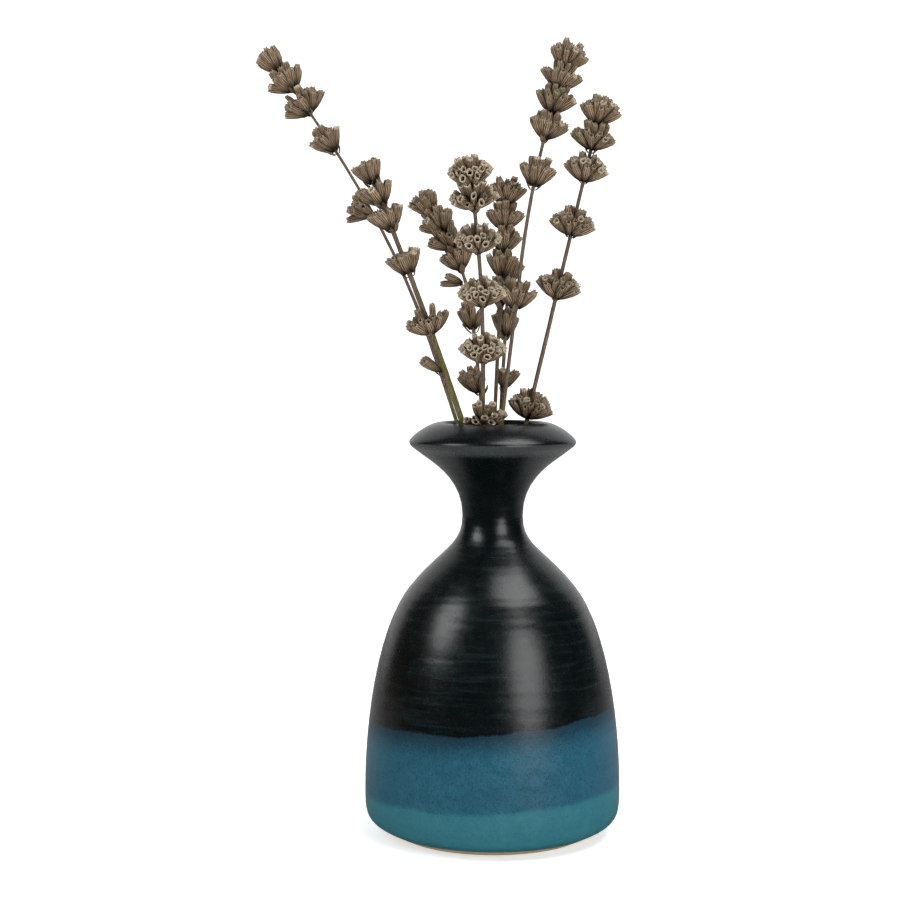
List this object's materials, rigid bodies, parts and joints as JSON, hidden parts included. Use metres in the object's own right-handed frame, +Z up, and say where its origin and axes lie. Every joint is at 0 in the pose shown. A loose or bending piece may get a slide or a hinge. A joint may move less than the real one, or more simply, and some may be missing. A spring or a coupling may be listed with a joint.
{
  "type": "bud vase",
  "caption": "Squat stoneware bud vase with a narrow neck, flared rim and banded glaze, holding loose sprigs of dried lavender that pull out.",
  "frame": {"origin": "centre of the flat foot, on the surface that the vase stands on", "axes": "+Z up along the vase's axis, -Y towards the front of the vase, +X to its right as seen from the front"},
  "size_m": [0.105, 0.0734, 0.2262],
  "materials": {
    "stoneware_body": "matte",
    "turquoise_glaze": "satin",
    "blue_glaze": "satin",
    "black_glaze": "satin",
    "liner_glaze": "satin",
    "dry_stem": "matte",
    "olive_stem": "matte",
    "dry_calyx": "matte"
  },
  "bodies": {
    "vase": {"stoneware_body": "stoneware_body", "turquoise_glaze": "turquoise_glaze", "blue_glaze": "blue_glaze", "black_glaze": "black_glaze", "liner_glaze": "liner_glaze"},
    "left_tall_sprig": {"left_tall_stem": "dry_stem", "left_tall_whorl_1": "dry_calyx", "left_tall_whorl_2": "dry_calyx", "left_tall_whorl_3": "dry_calyx", "left_tall_whorl_4": "dry_calyx", "left_tall_whorl_5": "dry_calyx"},
    "left_low_sprig": {"left_low_stem": "olive_stem", "left_low_whorl_1": "dry_calyx", "left_low_whorl_2": "dry_calyx", "left_low_whorl_3": "dry_calyx", "left_low_whorl_4": "dry_calyx", "left_low_whorl_5": "dry_calyx", "left_low_whorl_6": "dry_calyx"},
    "centre_left_sprig": {"centre_left_stem": "dry_stem", "centre_left_whorl_1": "dry_calyx", "centre_left_whorl_2": "dry_calyx", "centre_left_whorl_3": "dry_calyx", "centre_left_whorl_4": "dry_calyx", "centre_left_whorl_5": "dry_calyx", "centre_left_whorl_6": "dry_calyx", "centre_left_whorl_7": "dry_calyx"},
    "centre_front_sprig": {"centre_front_stem": "dry_stem", "centre_front_whorl_1": "dry_calyx", "centre_front_whorl_2": "dry_calyx", "centre_front_whorl_3": "dry_calyx", "centre_front_whorl_4": "dry_calyx", "centre_front_whorl_5": "dry_calyx", "centre_front_whorl_6": "dry_calyx"},
    "centre_right_sprig": {"centre_right_stem": "dry_stem", "centre_right_whorl_1": "dry_calyx", "centre_right_whorl_2": "dry_calyx", "centre_right_whorl_3": "dry_calyx", "centre_right_whorl_4": "dry_calyx", "centre_right_whorl_5": "dry_calyx"},
    "centre_back_sprig": {"centre_back_stem": "dry_stem", "centre_back_whorl_1": "dry_calyx", "centre_back_whorl_2": "dry_calyx", "centre_back_whorl_3": "dry_calyx"},
    "right_tall_sprig": {"right_tall_stem": "dry_stem", "right_tall_whorl_1": "dry_calyx", "right_tall_whorl_2": "dry_calyx", "right_tall_whorl_3": "dry_calyx", "right_tall_whorl_4": "dry_calyx", "right_tall_whorl_5": "dry_calyx", "right_tall_whorl_6": "dry_calyx"},
    "right_sprig": {"right_stem": "dry_stem", "right_whorl_1": "dry_calyx", "right_whorl_2": "dry_calyx", "right_whorl_3": "dry_calyx", "right_whorl_4": "dry_calyx", "right_whorl_5": "dry_calyx", "right_whorl_6": "dry_calyx"}
  },
  "joints": [
    {"name": "left_tall_pull", "type": "slide", "parent": "vase", "child": "left_tall_sprig", "axis": [-0.3114, 0.1132, 0.9435], "range_m": [0, 0.125]},
    {"name": "left_low_pull", "type": "slide", "parent": "vase", "child": "left_low_sprig", "axis": [-0.32, -0.1082, 0.9412], "range_m": [0, 0.125]},
    {"name": "centre_left_pull", "type": "slide", "parent": "vase", "child": "centre_left_sprig", "axis": [-0.0896, 0.01, 0.9959], "range_m": [0, 0.125]},
    {"name": "centre_front_pull", "type": "slide", "parent": "vase", "child": "centre_front_sprig", "axis": [0, -0.3004, 0.9538], "range_m": [0, 0.125]},
    {"name": "centre_right_pull", "type": "slide", "parent": "vase", "child": "centre_right_sprig", "axis": [0.0499, 0.0449, 0.9977], "range_m": [0, 0.125]},
    {"name": "centre_back_pull", "type": "slide", "parent": "vase", "child": "centre_back_sprig", "axis": [0.0589, 0.1816, 0.9816], "range_m": [0, 0.125]},
    {"name": "right_tall_pull", "type": "slide", "parent": "vase", "child": "right_tall_sprig", "axis": [0.1172, -0.0099, 0.9931], "range_m": [0, 0.125]},
    {"name": "right_pull", "type": "slide", "parent": "vase", "child": "right_sprig", "axis": [0.2236, -0.071, 0.9721], "range_m": [0, 0.125]}
  ]
}
